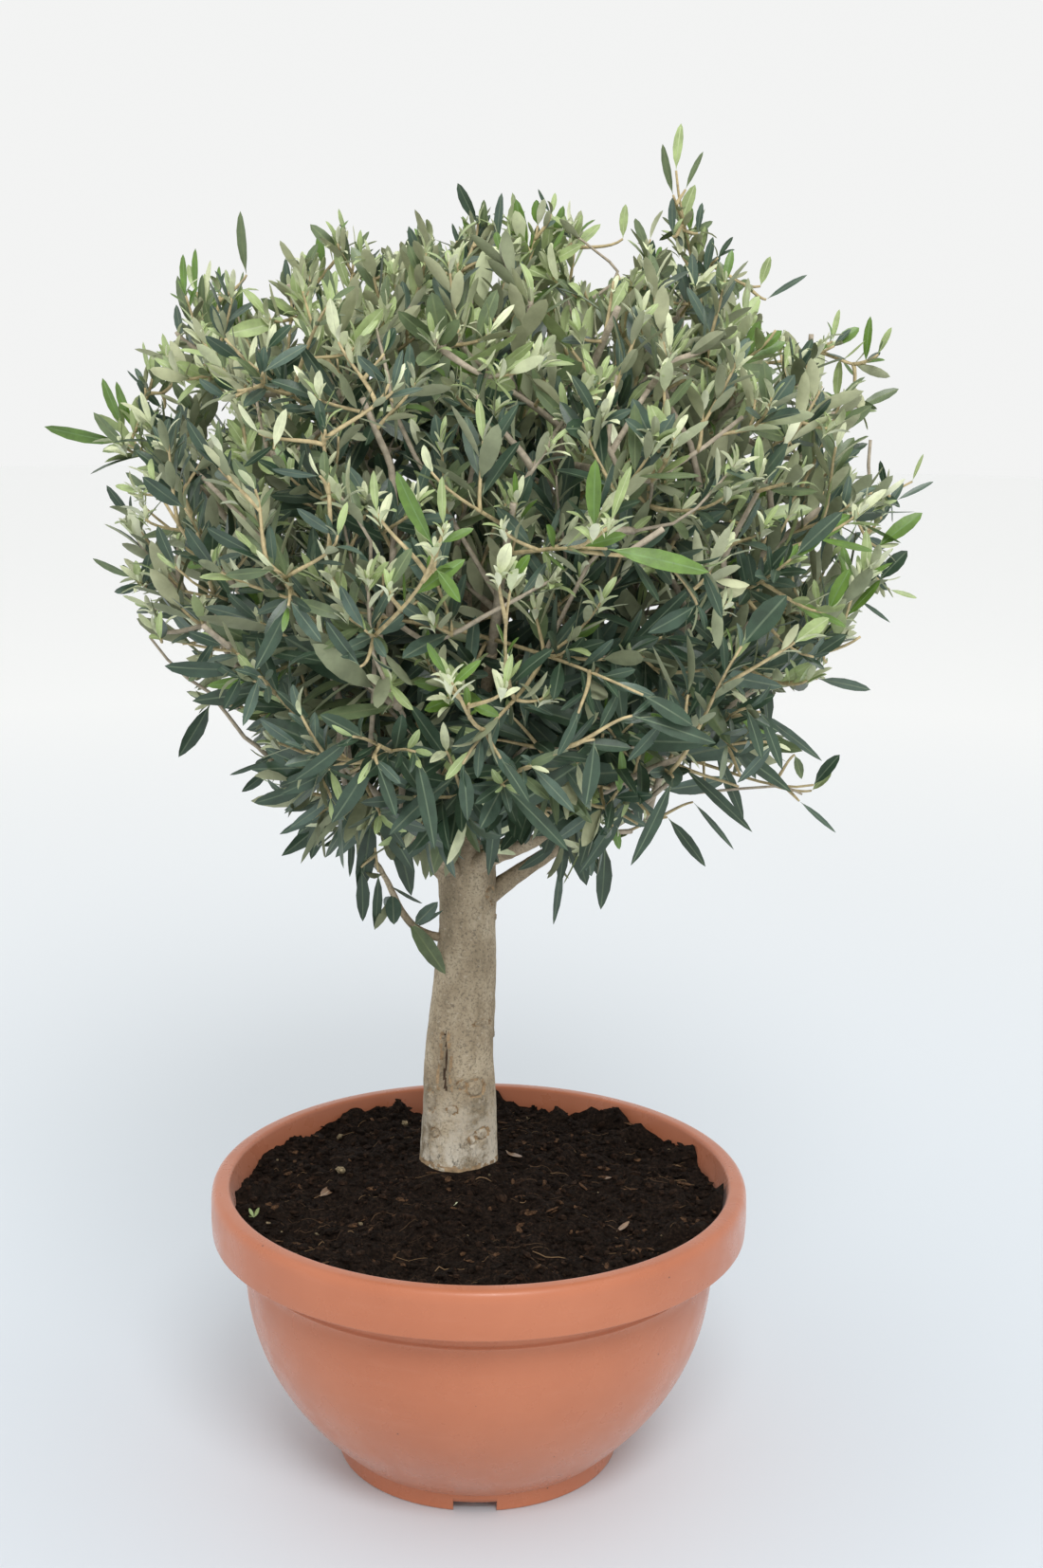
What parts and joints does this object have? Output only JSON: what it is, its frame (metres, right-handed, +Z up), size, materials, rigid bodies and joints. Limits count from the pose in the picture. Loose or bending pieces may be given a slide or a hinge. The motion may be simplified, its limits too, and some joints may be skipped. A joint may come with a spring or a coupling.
{
  "type": "potted olive tree",
  "caption": "Young round-headed olive tree on a clear trunk, planted in a bowl-shaped plastic pot that stands on its foot ring.",
  "frame": {"origin": "centre of the pot's foot ring, on the surface that the pot stands on", "axes": "+Z up along the trunk, -Y towards the front, +X to the plant's right hand seen from the front"},
  "size_m": [0.579, 0.575, 0.9],
  "materials": {
    "pot": "satin terracotta-coloured plastic",
    "soil": "loose peat compost with fibres",
    "bark": "smooth grey-beige young bark",
    "foliage": "leathery grey-green leaves"
  },
  "bodies": {
    "root": {"pot": "pot", "soil": "soil", "trunk": "bark", "sprig": "bark", "bough_top_1": "bark", "bough_middle_1": "bark", "bough_middle_2": "bark", "bough_middle_3": "bark", "bough_middle_4": "bark", "bough_middle_5": "bark", "bough_low_1": "bark", "bough_low_2": "bark", "bough_low_3": "bark", "bough_low_4": "bark", "bough_low_5": "bark", "bough_high_1": "bark", "bough_high_2": "bark", "bough_high_3": "bark", "bough_high_4": "bark", "mass_top_1": "foliage", "mass_middle_1": "foliage", "mass_middle_2": "foliage", "mass_middle_3": "foliage", "mass_middle_4": "foliage", "mass_middle_5": "foliage", "mass_low_1": "foliage", "mass_low_2": "foliage", "mass_low_3": "foliage", "mass_low_4": "foliage", "mass_low_5": "foliage", "mass_high_1": "foliage", "mass_high_2": "foliage", "mass_high_3": "foliage", "mass_high_4": "foliage"}
  },
  "joints": []
}
